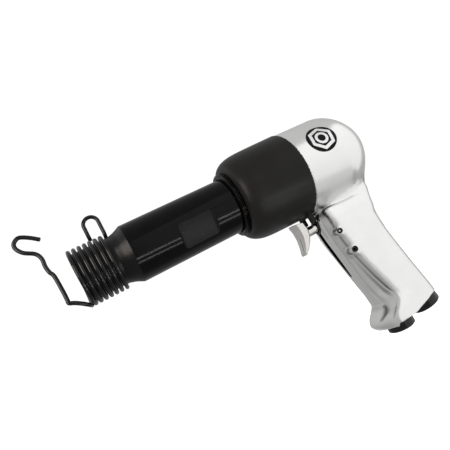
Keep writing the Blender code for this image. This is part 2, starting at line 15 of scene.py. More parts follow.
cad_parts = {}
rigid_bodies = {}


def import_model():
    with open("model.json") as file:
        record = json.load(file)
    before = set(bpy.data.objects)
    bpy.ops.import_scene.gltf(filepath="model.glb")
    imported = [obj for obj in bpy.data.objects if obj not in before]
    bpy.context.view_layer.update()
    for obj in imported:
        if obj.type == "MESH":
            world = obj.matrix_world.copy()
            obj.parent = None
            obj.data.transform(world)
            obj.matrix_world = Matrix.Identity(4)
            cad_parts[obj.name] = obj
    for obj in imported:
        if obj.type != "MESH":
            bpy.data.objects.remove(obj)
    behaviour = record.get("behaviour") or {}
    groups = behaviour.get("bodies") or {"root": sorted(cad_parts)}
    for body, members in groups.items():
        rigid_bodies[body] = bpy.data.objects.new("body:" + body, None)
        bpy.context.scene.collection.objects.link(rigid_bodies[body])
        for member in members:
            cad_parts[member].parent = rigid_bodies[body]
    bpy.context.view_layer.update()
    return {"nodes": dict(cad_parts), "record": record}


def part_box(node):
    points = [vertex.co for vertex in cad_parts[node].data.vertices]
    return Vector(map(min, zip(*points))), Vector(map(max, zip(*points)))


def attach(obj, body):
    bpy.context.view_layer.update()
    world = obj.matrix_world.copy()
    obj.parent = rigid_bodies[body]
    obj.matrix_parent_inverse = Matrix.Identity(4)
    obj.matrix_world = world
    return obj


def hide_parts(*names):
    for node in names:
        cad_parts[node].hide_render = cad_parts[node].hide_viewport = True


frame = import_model()

MM = 0.001
BARREL_LOW, BARREL_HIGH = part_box("barrel")
MUZZLE_X = 1.6
ORIGIN = Vector((
    BARREL_LOW.x / MM - MUZZLE_X,
    (BARREL_LOW.y + BARREL_HIGH.y) / 2.0 / MM,
    (BARREL_LOW.z + BARREL_HIGH.z) / 2.0 / MM,
))
TO_WORLD = Matrix.Scale(MM, 4) @ Matrix.Translation(ORIGIN)

# Sizes that several pieces share, in millimetres.
BARREL_RADIUS = 21.0
NOSE_RADIUS = 17.2
WIRE_RADIUS = 1.4
COIL_RADIUS = 19.0
COIL_FRONT = 0.6
COIL_PITCH = 3.72
COIL_TURNS = 7.3
CLOSED_TURNS = 0.25
SLEEVE_RADIUS = 34.1
BOSS_RADIUS = 27.5
BOSS_FRONT = 129.0
BOSS_REAR = 190.0
HEAD_RADIUS = 33.5
HEAD_FRONT = 170.6
HEAD_SHOULDER = 204.0
DOME_DEPTH = 33.6
DOME_POWER = 1.8
BASE_Z = -131.5
BASE_BEND = 194.0
BASE_SLOPE = 0.22
TOE_Z = -133.2
TOE_REAR = 178.4
ROD_Z = -44.7
ROD_RADIUS = 3.7
INLET_X = 189.0
EXHAUST_END = (216.4, 0.0, -136.0)
EXHAUST_TILT = math.radians(-9.0)
BADGE_X = 192.3
BADGE_ANGLE = math.radians(16.4)
HEXAGON_TURN = 0.3
OUTLINE_STEPS = 96
PIN_PLACE = (175.6, -54.9)
PLUG_PLACE = (178.4, -71.6)
FLAT_ANGLE = math.radians(25.0)
FLAT_FROM_AXIS = 18.9
SLOT_TOP = -46.0
SLOT_END = -89.4

ALONG_X = Matrix.Rotation(math.radians(90.0), 4, "Y")
UPRIGHT = Matrix.Rotation(math.radians(90.0), 4, "X")
FACING_X = Matrix.Rotation(math.radians(90.0), 4, "Z") @ UPRIGHT


# ---------------------------------------------------------------- materials

class Paint:
    """A Principled material with helpers for its procedural nodes."""

    def __init__(self, name, **sockets):
        self.material = bpy.data.materials.new(name)
        self.material.use_nodes = True
        self.tree = self.material.node_tree
        self.shader = self.tree.nodes["Principled BSDF"]
        for socket, value in sockets.items():
            self.shader.inputs[socket.replace("_", " ")].default_value = value
        self.place = self.tree.nodes.new("ShaderNodeTexCoord").outputs["Object"]

    def node(self, kind, **sockets):
        item = self.tree.nodes.new("ShaderNode" + kind)
        for socket, value in sockets.items():
            target = item.inputs[socket.replace("_", " ")]
            if isinstance(value, bpy.types.NodeSocket):
                self.tree.links.new(value, target)
            else:
                target.default_value = value
        return item

    def noise(self, size_mm, detail, stretch=(1.0, 1.0, 1.0)):
        """Noise whose features are about size_mm wide."""
        mapping = self.node("Mapping", Vector=self.place)
        mapping.inputs["Scale"].default_value = [factor / (size_mm * MM) for factor in stretch]
        return self.node("TexNoise", Vector=mapping.outputs[0], Scale=1.0, Detail=detail).outputs[0]

    def spread(self, source, low, high, start=0.3, end=0.7):
        """A number from low to high as the source goes from start to end."""
        ramp = self.node("MapRange", Value=source, From_Min=start, From_Max=end,
                         To_Min=low, To_Max=high)
        return ramp.outputs[0]

    def colours(self, source, *stops):
        """A colour ramp of (position, colour) stops."""
        ramp = self.node("ValToRGB", Fac=source)
        while len(ramp.color_ramp.elements) < len(stops):
            ramp.color_ramp.elements.new(0.5)
        for element, (position, colour) in zip(ramp.color_ramp.elements, stops):
            element.position = position
            element.color = (*colour, 1.0)
        return ramp.outputs[0]

    def tinted(self, colour, tint):
        """One colour multiplied by another."""
        mix = self.tree.nodes.new("ShaderNodeMix")
        mix.data_type = "RGBA"
        mix.blend_type = "MULTIPLY"
        mix.inputs["Factor"].default_value = 1.0
        colour_sockets = [item for item in mix.inputs if item.type == "RGBA"]
        for socket, source in zip(colour_sockets, (colour, tint)):
            self.tree.links.new(source, socket)
        return next(item for item in mix.outputs if item.type == "RGBA")

    def bump(self, height, depth_mm):
        item = self.node("Bump", Height=height, Strength=1.0, Distance=depth_mm * MM)
        self.feed("Normal", item.outputs[0])

    def feed(self, socket, source):
        self.tree.links.new(source, self.shader.inputs[socket])


def cast_aluminium():
    """Polished, with fine streaks along the head and down the grip, and with painted shade that darkens
    its cavities and creases.
    """
    paint = Paint("cast_aluminium", Metallic=1.0)
    broad = paint.noise(14.0, 3.0)
    fine = paint.noise(0.8, 4.0)
    polished = paint.colours(broad, (0.3, (0.86, 0.86, 0.845)), (0.7, (0.9, 0.9, 0.89)))
    # Painted shade: the stored cavity value tints the metal darker in recesses and creases, where only
    # shade falls.
    painted_cavity_shade = paint.tree.nodes.new("ShaderNodeAttribute")
    painted_cavity_shade.attribute_name = "painted_cavity_shade"
    open_tint = (1.0, 1.0, 1.0)
    edge_tint = (0.5, 0.49, 0.48)
    deep_tint = (0.14, 0.145, 0.16)
    shade = paint.colours(painted_cavity_shade.outputs["Fac"], (0.02, open_tint), (0.16, edge_tint), (0.4, deep_tint))
    paint.feed("Base Color", paint.tinted(polished, shade))
    paint.feed("Roughness", paint.spread(fine, 0.22, 0.28))
    height = paint.node("SeparateXYZ", Vector=paint.place).outputs["Z"]
    grip_top, head_bottom = 0.096, 0.110    # metres above the frame's floor
    upper = paint.spread(height, 0.0, 1.0, grip_top, head_bottom)
    along_head = paint.noise(2.2, 2.0, (0.035, 1.0, 1.0))
    along_grip = paint.noise(2.0, 2.0, (1.0, 1.0, 0.04))
    streaks = paint.node("Mix", Factor=upper, A=along_grip, B=along_head)
    paint.bump(streaks.outputs[0], 0.026)
    return paint.material


def dark_steel(name, roughness, specular, tone, stretch=(1.0, 1.0, 1.0)):
    """Blackened steel of a given base tone."""
    paint = Paint(name, Metallic=0.0, Specular_IOR_Level=specular)
    broad = paint.noise(9.0, 3.0)
    fine = paint.noise(0.5, 3.0, stretch)
    dark = (tone, tone, tone * 1.05)
    light = (tone * 1.7, tone * 1.7, tone * 1.75)
    paint.feed("Base Color", paint.colours(broad, (0.3, dark), (0.7, light)))
    paint.feed("Roughness", paint.spread(fine, roughness - 0.02, roughness + 0.03))
    return paint.material


def barrel_steel():
    """Black and glossy, with faint marks along the barrel."""
    paint = Paint("black_steel", Specular_IOR_Level=0.13)
    broad = paint.noise(9.0, 3.0)
    dark = (0.001, 0.001, 0.0011)
    light = (0.002, 0.002, 0.0021)
    paint.feed("Base Color", paint.colours(broad, (0.3, dark), (0.7, light)))
    fine = paint.noise(0.5, 3.0, (0.2, 1.0, 1.0))
    paint.feed("Roughness", paint.spread(fine, 0.12, 0.16))
    return paint.material


def black_rubber():
    """Satin rubber, slightly uneven."""
    paint = Paint("black_rubber", Specular_IOR_Level=0.12)
    broad = paint.noise(20.0, 3.0)
    fine = paint.noise(0.6, 4.0)
    dark = (0.0106, 0.0103, 0.0099)
    light = (0.0134, 0.0130, 0.0124)
    paint.feed("Base Color", paint.colours(broad, (0.3, dark), (0.7, light)))
    paint.feed("Roughness", paint.spread(fine, 0.33, 0.39))
    paint.bump(paint.noise(9.0, 2.0), 0.03)
    return paint.material


def bare_metal(name, colour, roughness):
    """Metal with faint changes of tone and a fine grain."""
    paint = Paint(name, Metallic=1.0)
    broad = paint.noise(6.0, 3.0)
    fine = paint.noise(0.5, 3.0)
    darker = tuple(channel * 0.9 for channel in colour)
    paint.feed("Base Color", paint.colours(broad, (0.3, darker), (0.7, colour)))
    paint.feed("Roughness", paint.spread(fine, roughness * 0.85, roughness * 1.2))
    paint.bump(fine, 0.0015)
    return paint.material


def seal_rubber():
    """The rubber of the rings inside."""
    paint = Paint("seal_rubber", Specular_IOR_Level=0.4)
    fine = paint.noise(0.4, 3.0)
    dark = (0.012, 0.012, 0.012)
    light = (0.02, 0.02, 0.02)
    paint.feed("Base Color", paint.colours(fine, (0.3, dark), (0.7, light)))
    paint.feed("Roughness", paint.spread(fine, 0.45, 0.6))
    return paint.material


def porous_bronze():
    """Sintered bronze: small grains with dark gaps between them."""
    paint = Paint("sintered_bronze", Metallic=1.0)
    grains = paint.node("TexVoronoi", Vector=paint.place, Scale=1600.0).outputs["Distance"]
    grain = (0.5, 0.38, 0.22)
    gap = (0.2, 0.14, 0.08)
    paint.feed("Base Color", paint.colours(grains, (0.1, grain), (0.7, gap)))
    paint.feed("Roughness", paint.spread(grains, 0.5, 0.8))
    paint.bump(grains, 0.1)
    return paint.material


def badge_enamel():
    """The badge's glossy black ground."""
    paint = Paint("badge_black", Specular_IOR_Level=0.12)
    fine = paint.noise(1.2, 3.0)
    dark = (0.002, 0.002, 0.002)
    light = (0.004, 0.004, 0.004)
    paint.feed("Base Color", paint.colours(fine, (0.3, dark), (0.7, light)))
    paint.feed("Roughness", paint.spread(fine, 0.28, 0.36))
    return paint.material


MATERIALS = {
    "cast_aluminium": cast_aluminium(),
    # Painted shade: a near-black metal for the walls of the grip's slot, which are only in shade.
    "slot_painted_shade": bare_metal("slot_painted_shade", (0.03, 0.03, 0.03), 0.6),
    "black_steel": barrel_steel(),
    "turned_neck": dark_steel("turned_neck", 0.3, 0.22, 0.002),
    "milled_flat": dark_steel("milled_flat", 0.42, 0.16, 0.004, (0.3, 1.0, 1.0)),
    "black_wire": dark_steel("black_wire", 0.2, 0.36, 0.001),
    "black_fitting": dark_steel("black_fitting", 0.16, 0.45, 0.001),
    "black_rubber": black_rubber(),
    "polished_steel": bare_metal("polished_steel", (0.78, 0.76, 0.73), 0.12),
    "hard_steel": bare_metal("hard_steel", (0.5, 0.5, 0.51), 0.3),
    "brass": bare_metal("brass", (0.76, 0.58, 0.28), 0.28),
    "seal_rubber": seal_rubber(),
    "sintered_bronze": porous_bronze(),
    "badge_black": badge_enamel(),
    "badge_white": bare_metal("badge_white", (0.97, 0.97, 0.97), 0.45),
}


# ---------------------------------------------------------------- mesh tools

def place(x=0.0, y=0.0, z=0.0):
    return Matrix.Translation(Vector((x, y, z)))


def rod_axis():
    """Local Z along the trigger rod."""
    return place(z=ROD_Z) @ ALONG_X


def cross_axis(spot):
    """Local Z across the grip, towards -Y, through an (x, z) place."""
    return place(spot[0], 0.0, spot[1]) @ UPRIGHT


def exhaust_axis():
    """Local Z up the exhaust cap, from its lower end."""
    return place(*EXHAUST_END) @ Matrix.Rotation(EXHAUST_TILT, 4, "Y")


def new_mesh(name, points, faces, matrix=Matrix.Identity(4)):
    """An object from points in the barrel's frame, in millimetres."""
    mesh = bpy.data.meshes.new(name)
    mesh.from_pydata([tuple(point) for point in points], [], faces)
    mesh.transform(TO_WORLD @ matrix)
    item = bpy.data.objects.new(name, mesh)
    bpy.context.scene.collection.objects.link(item)
    return item


def mend(item):
    """Merge double points and turn the faces of a closed mesh outwards."""
    work = bmesh.new()
    work.from_mesh(item.data)
    bmesh.ops.remove_doubles(work, verts=work.verts, dist=0.000001)
    bmesh.ops.recalc_face_normals(work, faces=work.faces)
    work.to_mesh(item.data)
    work.free()
    return item


def applied(item):
    """The object with its modifiers made real."""
    bpy.context.view_layer.update()
    graph = bpy.context.evaluated_depsgraph_get()
    mesh = bpy.data.meshes.new_from_object(item.evaluated_get(graph))
    item.modifiers.clear()
    item.data = mesh
    return item


def drop(*items):
    for item in items:
        bpy.data.objects.remove(item, do_unlink=True)


def combine(item, operation, *others):
    """Boolean item with others, then make the result real."""
    for other in others:
        modifier = item.modifiers.new("boolean", "BOOLEAN")
        modifier.operation = operation
        modifier.solver = "EXACT"
        modifier.object = other
    applied(item)
    drop(*others)
    return item


def cut(item, *others):
    """Take the others away from item."""
    return combine(item, "DIFFERENCE", *others)


def rounded(profile):
    """Round the corners of a closed profile of (along, radius, corner radius) points."""
    segments = 6
    points = []
    for index, (along, radius, corner) in enumerate(profile):
        here = Vector((along, radius))
        if corner <= 0.0:
            points.append(here)
            continue
        before = Vector(profile[index - 1][:2])
        after = Vector(profile[(index + 1) % len(profile)][:2])
        to_before = (before - here).normalized()
        to_after = (after - here).normalized()
        half = to_before.angle(to_after) / 2.0
        reach = corner / math.tan(half)
        centre = here + (to_before + to_after).normalized() * corner / math.sin(half)
        start = here + to_before * reach - centre
        end = here + to_after * reach - centre
        for step in range(segments + 1):
            share = step / segments
            spot = start.lerp(end, share)
            points.append(centre + spot.normalized() * corner)
    return points


def turned(name, profile, matrix, steps=128):
    """Turn a closed profile about the local Z axis."""
    outline = rounded(profile)
    points = []
    faces = []
    count = len(outline)
    for step in range(steps):
        angle = math.tau * step / steps
        for along, radius in outline:
            radius = max(radius, 0.0)
            points.append((radius * math.cos(angle), radius * math.sin(angle), along))
        for index in range(count):
            after = (index + 1) % count
            ahead = (step + 1) % steps
            if outline[index][1] <= 0.0 and outline[after][1] <= 0.0:
                continue
            faces.append((step * count + index, step * count + after,
                          ahead * count + after, ahead * count + index))
    return mend(new_mesh(name, points, faces, matrix))


def rod(name, radius, start, end, matrix, steps=48, corner=0.0):
    """A round rod along the local Z axis, from start to end."""
    profile = [(start, 0.0, 0.0), (start, radius, corner), (end, radius, corner), (end, 0.0, 0.0)]
    return turned(name, profile, matrix, steps)


def soft_block(name, low, high, corner):
    """A block between two corners, its edges rounded by corner millimetres."""
    points = []
    for x in (low[0], high[0]):
        for y in (low[1], high[1]):
            for z in (low[2], high[2]):
                points.append((x, y, z))
    faces = [(0, 1, 3, 2), (4, 6, 7, 5), (0, 4, 5, 1), (2, 3, 7, 6), (0, 2, 6, 4), (1, 5, 7, 3)]
    return bevelled(new_mesh(name, points, faces), corner)


def bevelled(item, width, segments=4, angle=30.0):
    """Bevel the edges that turn by more than angle degrees."""
    modifier = item.modifiers.new("bevel", "BEVEL")
    modifier.width = width * MM
    modifier.segments = segments
    modifier.limit_method = "ANGLE"
    modifier.angle_limit = math.radians(angle)
    return applied(item)


def plate(name, outline, thickness, matrix):
    """A flat plate between two copies of an outline in the local XY plane."""
    count = len(outline)
    points = [(x, y, z) for z in (-thickness / 2.0, thickness / 2.0) for x, y in outline]
    faces = [tuple(range(count))[::-1], tuple(range(count, 2 * count))]
    for index in range(count):
        after = (index + 1) % count
        faces.append((index, after, count + after, count + index))
    return mend(new_mesh(name, points, faces, matrix))


def smooth_through(points, per_span=8):
    """Points on a smooth open curve that passes through the given points."""
    spots = [Vector(point) for point in points]
    spots = [2 * spots[0] - spots[1]] + spots + [2 * spots[-1] - spots[-2]]
    result = []
    for before, start, end, after in zip(spots, spots[1:], spots[2:], spots[3:]):
        for step in range(per_span):
            t = step / per_span
            result.append(0.5 * (2 * start + (end - before) * t
                                 + (2 * before - 5 * start + 4 * end - after) * t ** 2
                                 + (3 * start - before - 3 * end + after) * t ** 3))
    result.append(spots[-2])
    return result


def wire(name, path, ends=(0.35, 0.35)):
    """A round wire along a path, its ends bevelled by the given amounts."""
    radius = WIRE_RADIUS
    sides = 20
    path = [Vector(point) for point in path]
    radii = [radius] * len(path)
    for place_at, bevel in ((0, ends[0]), (-1, ends[1])):
        inner = path[1] if place_at == 0 else path[-2]
        away = (path[place_at] - inner).normalized()
        tip = path[place_at].copy()
        rim = tip - away * bevel
        if place_at == 0:
            path[0:1] = [tip, rim]
            radii[0:1] = [radius - bevel, radius]
        else:
            path[-1:] = [rim, tip]
            radii[-1:] = [radius, radius - bevel]
    side = (path[1] - path[0]).orthogonal().normalized()
    points = []
    faces = []
    for index, spot in enumerate(path):
        ahead = path[min(index + 1, len(path) - 1)]
        behind = path[max(index - 1, 0)]
        forward = (ahead - behind).normalized()
        side = (side - forward * side.dot(forward)).normalized()
        other = forward.cross(side)
        for step in range(sides):
            angle = math.tau * step / sides
            points.append(spot + (side * math.cos(angle) + other * math.sin(angle)) * radii[index])
        if index:
            base = (index - 1) * sides
            for step in range(sides):
                after = (step + 1) % sides
                faces.append((base + step, base + after, base + sides + after, base + sides + step))
    faces.append(tuple(range(sides))[::-1])
    faces.append(tuple(range(len(points) - sides, len(points))))
    return mend(new_mesh(name, points, faces))


def finish(item, material, body, *nodes, sharp=30.0, slot=None):
    """Material, smooth shading, the body it rides on and the CAD nodes it stands for."""
    if material:
        item.data.materials.clear()
        item.data.materials.append(MATERIALS[material])
    item.data.shade_smooth()
    item.data.set_sharp_from_angle(angle=math.radians(sharp))
    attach(item, body)
    if nodes:
        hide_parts(*nodes)
    return item


# ---------------------------------------------------------------- housing as a field

def smooth_min(first, second, reach):
    """The smaller of two fields, blended where they differ by less than reach."""
    blend = np.maximum(reach - np.abs(first - second), 0.0) / reach
    return np.minimum(first, second) - blend ** 3 * reach / 6.0


def smooth_max(first, second, reach):
    return -smooth_min(-first, -second, reach)


def track(knots, blur):
    """A smooth function of height through (z, value) knots."""
    step = 0.25
    levels = np.arange(-160.0, 60.0, step)
    heights, values = zip(*sorted(knots))
    table = np.interp(levels, heights, values)
    reach = int(3.0 * blur / step)
    weights = np.exp(-0.5 * (np.arange(-reach, reach + 1) * step / blur) ** 2)
    padded = np.pad(table, reach, mode="edge")
    table = np.convolve(padded, weights / weights.sum(), mode="valid")
    return lambda z: np.interp(z, levels, table)


# Edges and half widths of the grip, by height.
PALM_REAR = track([
    (-12.0, 231.4), (-32.0, 223.4), (-43.0, 219.2), (-58.0, 217.2), (-72.0, 218.0),
    (-86.0, 219.9), (-103.0, 222.4), (-114.0, 224.3), (-121.0, 225.6), (-131.5, 226.6),
], 4.0)
PALM_FRONT = track([
    (-12.0, 172.0), (-26.0, 172.6), (-32.0, 174.2), (-43.0, 174.8), (-58.0, 175.2), (-72.0, 177.4),
    (-86.0, 181.0), (-103.0, 185.9), (-113.0, 188.4), (-118.5, 187.6), (-122.5, 183.6),
    (-126.5, 178.4), (-131.5, 176.6),
], 1.3)
RIB_FRONT = track([
    (-22.0, 172.5), (-35.5, 171.0), (-41.0, 169.2), (-47.0, 168.5), (-58.0, 169.3),
    (-72.0, 171.1), (-88.0, 173.4), (-102.0, 175.8), (-112.0, 177.6), (-117.0, 178.4),
    (-120.5, 175.4), (-124.5, 170.2), (-128.0, 168.3), (-131.0, 169.0), (-133.5, 172.4),
], 1.2)
RIB_WIDTH = track([
    (-24.0, 11.0), (-60.0, 10.0), (-78.0, 8.6), (-96.0, 7.4), (-107.0, 8.2),
    (-114.0, 12.4), (-120.0, 14.4), (-131.0, 14.0),
], 2.0)
PALM_WIDTH = track([(-35.0, 15.2), (-37.5, 15.8), (-44.0, 17.5), (-52.0, 18.0), (-131.0, 18.0)], 1.0)
SMALL_BOSSES = ((PIN_PLACE, 2.1), (PLUG_PLACE, 2.7))
SMALL_BOSS_TOP = 16.3
PALM_DEPTH = 21.0
PALM_TOP = -35.6
RIDGE_SLOPE = 0.32
NECK_WIDTH = 14.6
NECK_FRONT = 174.4
RIB_REAR = 206.0
WEDGE = 0.35


def oval(along, across, power):
    """Zero on an oval of half size 1 each way; the higher the power, the squarer it is."""
    return (np.abs(along) ** power + np.abs(across) ** power) ** (1.0 / power) - 1.0


def head_field(x, y, z):
    """The domed head and the boss in front of it."""
    radius = np.hypot(y, z)
    back = np.maximum(x - HEAD_SHOULDER, 0.0) / DOME_DEPTH
    dome = oval(back, radius / HEAD_RADIUS, DOME_POWER) * HEAD_RADIUS
    head = smooth_max(dome, HEAD_FRONT - x, 0.8)
    boss = np.maximum(np.maximum(radius - BOSS_RADIUS, BOSS_FRONT - x), x - BOSS_REAR)
    return np.minimum(head, boss)


def two_ovals(x, y, middle, ahead, width, front_power, rear_power):
    """A section that is one oval in front of middle, ahead long, and another one behind it."""
    across = np.abs(y) / width
    front_half = oval(np.minimum(x - middle, 0.0) / ahead, across, front_power)
    rear_half = oval(np.maximum(x - middle, 0.0) / PALM_DEPTH, across, rear_power)
    return np.where(x < middle, front_half, rear_half) * width


def palm_field(x, y, z):
    """The wide rear of the grip, its front edge bevelled to a crisp ridge."""
    front = PALM_FRONT(z)
    width = PALM_WIDTH(z)
    middle = PALM_REAR(z) - PALM_DEPTH
    body = two_ovals(x, y, middle, (middle - front) * 1.3, width, 5.0, 2.1)
    bevel_depth, bevel_end = 0.7, front + 2.6
    even = 0.95    # keeps the bevel's slope near 1
    bevel = (np.abs(y) - width + bevel_depth + RIDGE_SLOPE * (bevel_end - x)) * even
    body = smooth_max(smooth_max(body, bevel, 0.5), front - x, 0.9)
    return smooth_max(body, z - PALM_TOP, 2.0)


def neck_field(x, y, z):
    """The narrower block that joins the grip to the head."""
    middle = PALM_REAR(z) - PALM_DEPTH
    body = two_ovals(x, y, middle, middle - NECK_FRONT, NECK_WIDTH, 3.5, 2.3)
    top, bottom = -5.0, -50.0
    return smooth_max(smooth_max(body, z - top, 4.0), bottom - z, 4.0)


def rib_field(x, y, z):
    """The narrow front of the grip, with the toe at its foot; its sides open towards the palm."""
    front = RIB_FRONT(z)
    middle = (front + RIB_REAR) / 2.0
    half = (RIB_REAR - front) / 2.0
    power = np.interp(z, (-116.0, -98.0), (2.5, 3.6))
    width = RIB_WIDTH(z) + WEDGE * np.clip(x - front - 2.0, 0.0, 9.0)
    body = oval((x - middle) / half, y / width, power) * width
    top = -20.0
    return smooth_max(body, z - top, 3.0)


def small_boss_field(x, y, z, spot, radius):
    """A small round boss on the near side of the grip."""
    across = np.maximum(-y - SMALL_BOSS_TOP, y)
    return np.maximum(np.hypot(x - spot[0], z - spot[1]) - radius, across)


def housing_field(x, y, z):
    """The whole casting, before its holes: below zero inside, in about millimetres."""
    rib_reach = np.interp(z, (-118.0, -109.0), (6.0, 3.0))
    grip = smooth_min(palm_field(x, y, z), rib_field(x, y, z), rib_reach)
    for spot, radius in SMALL_BOSSES:
        grip = smooth_min(grip, small_boss_field(x, y, z, spot, radius), 2.4)
    rise = np.clip(BASE_SLOPE * (x - BASE_BEND), 0.0, 4.3)
    bottom = np.where(x < TOE_REAR, TOE_Z, BASE_Z + rise)
    grip = smooth_max(grip, bottom - z, 1.0)
    neck_reach = np.interp(x, (198.0, 214.0), (14.0, 9.0))
    head = smooth_min(head_field(x, y, z), neck_field(x, y, z), neck_reach)
    return smooth_min(head, grip, np.interp(x, (200.0, 216.0), (1.0, 6.0)))


def surface_net(field, low, high, step):
    """A closed quad mesh on the zero level of a field.

    One point for each grid cell that the surface crosses, and one quad for each grid
    edge that it crosses. The points are then evened out and moved onto the surface.
    """
    axes = [np.arange(bottom, top + step, step, dtype=np.float32) for bottom, top in zip(low, high)]
    grid = np.meshgrid(*axes, indexing="ij", sparse=True)
    values = field(*grid)
    inside = values < 0.0
    corner_count = np.zeros([size - 1 for size in inside.shape], np.int8)
    for i in (0, 1):
        for j in (0, 1):
            for k in (0, 1):
                corner_count += inside[i:inside.shape[0] - 1 + i, j:inside.shape[1] - 1 + j,
                                       k:inside.shape[2] - 1 + k]
    cells = np.argwhere((corner_count > 0) & (corner_count < 8))
    numbers = np.full(corner_count.shape, -1, np.int64)
    numbers[tuple(cells.T)] = np.arange(len(cells))
    points = (cells + 0.5) * step + np.array(low)
    quads = []
    for axis in range(3):
        first, second = [other for other in range(3) if other != axis]
        start = np.moveaxis(inside, axis, 0)[:-1]
        end = np.moveaxis(inside, axis, 0)[1:]
        crossing = np.argwhere(start != end)
        order = [axis, first, second]
        spots = np.empty_like(crossing)
        spots[:, order] = crossing
        rising = start[tuple(crossing.T)]
        loop = []
        for a, b in ((0, 0), (1, 0), (1, 1), (0, 1)):
            cell = spots.copy()
            cell[:, first] -= a
            cell[:, second] -= b
            loop.append(numbers[tuple(cell.T)])
        loop = np.stack(loop, axis=1)
        flip = rising if axis != 1 else ~rising
        loop[flip] = loop[flip][:, ::-1]
        quads.append(loop)
    quads = np.concatenate(quads)
    for _ in range(4):
        points = relaxed(onto_surface(field, points), quads)
    for _ in range(2):
        points = onto_surface(field, points)
    return points, quads


def onto_surface(field, points):
    """Move points down the field's slope until they lie on its zero level."""
    delta = 0.02
    least_slope = 0.05
    for _ in range(3):
        value = field(*points.T)
        slope = np.empty_like(points)
        for axis in range(3):
            ahead = points.copy()
            ahead[:, axis] += delta
            behind = points.copy()
            behind[:, axis] -= delta
            slope[:, axis] = (field(*ahead.T) - field(*behind.T)) / (2.0 * delta)
        size = np.maximum((slope ** 2).sum(axis=1), least_slope)
        move = slope * np.clip(value / size, -1.0, 1.0)[:, None]
        points = points - move
    return points


def relaxed(points, quads):
    """Each point half way to the middle of its neighbours."""
    total = np.zeros_like(points)
    count = np.zeros(len(points))
    for a, b in ((0, 1), (1, 2), (2, 3), (3, 0)):
        for here, there in ((a, b), (b, a)):
            np.add.at(total, quads[:, here], points[quads[:, there]])
            np.add.at(count, quads[:, here], 1.0)
    return 0.5 * points + 0.5 * total / count[:, None]


def paint_cavity_shade(item, field):
    """Store on each point how much the surface closes in round it, from 0 to 1, which sets
    the strength of the painted shade in its cavities.

    The field is read a short way and a long way out. Where nothing is near, the two
    agree. The painted shade is made weaker towards the toe.
    """
    places = np.empty(3 * len(item.data.vertices))
    item.data.vertices.foreach_get("co", places)
    places = places.reshape(-1, 3) / MM - np.array(ORIGIN)
    outward = np.array([point.vector for point in item.data.vertex_normals])
    near, far = 0.4, 5.0
    least_slope = 0.3
    slope = np.maximum(field(*(places + near * outward).T) / near, least_slope)
    free = field(*(places + far * outward).T) / (far * slope)
    # The painted shade fades to a quarter of its strength low on the grip, at the toe.
    shade_strength = np.interp(places[:, 2], (-120.0, -106.0), (0.25, 1.0))
    layer = item.data.attributes.new("painted_cavity_shade", "FLOAT", "POINT")
    layer.data.foreach_set("value", np.clip(1.0 - free, 0.0, 1.0) * shade_strength)


def make_housing():
    """The casting with its bores, its slot and the holes for pin and plug, with painted shade on the
    slot's walls and in its cavities.
    """
    step = 0.7
    points, quads = surface_net(housing_field, (127.0, -36.0, -136.0), (240.0, 36.0, 36.0), step)
    housing = mend(new_mesh("housing_casting", points, quads.tolist()))
    bore = [(BOSS_FRONT - 3.0, 0.0, 0.0), (BOSS_FRONT - 3.0, 21.6, 0.0), (178.0, 21.6, 0.0),
            (226.3, 21.6, 0.0), (226.3, 0.0, 0.0)]
    slot = [(-2.3, SLOT_TOP), (2.3, SLOT_TOP), (2.3, -68.0), (1.9, -78.0), (1.1, -88.6),
            (0.5, SLOT_END), (-0.5, SLOT_END), (-1.1, -88.6), (-1.9, -78.0), (-2.3, -68.0)]
    cutters = [
        turned("bore", bore, ALONG_X, 96),
        rod("throttle_bore", 5.8, 155.0, 181.4, rod_axis(), 64),
        plate("slot", slot, 20.0, place(x=169.0) @ FACING_X),
        rod("pin_hole", 2.0, 2.5, 30.0, cross_axis(PIN_PLACE), 40),
        rod("plug_hole", 2.3, 5.0, 30.0, cross_axis(PLUG_PLACE), 48),
        rod("inlet_bore", 8.3, -145.0, -107.0, place(x=INLET_X), 64),
        rod("exhaust_bore", 8.4, -6.0, 42.0, exhaust_axis(), 64),
    ]
    cut(housing, *cutters)
    paint_cavity_shade(housing, housing_field)
    finish(housing, "cast_aluminium", "body", "handle_housing", sharp=40.0)
    housing.data.materials.append(MATERIALS["slot_painted_shade"])
    # Painted shade: faces on the walls of the grip's slot take the second material, a near-black metal
    # that stands for the shade inside the slot.
    for face in housing.data.polygons:
        spot = face.center / MM - ORIGIN
        in_height = SLOT_END - 0.2 < spot.z < SLOT_TOP
        in_depth = RIB_FRONT(spot.z) + 0.4 < spot.x < 182.0
        if abs(spot.y) < 2.4 and in_height and in_depth:
            face.material_index = 1


# ---------------------------------------------------------------- barrel group

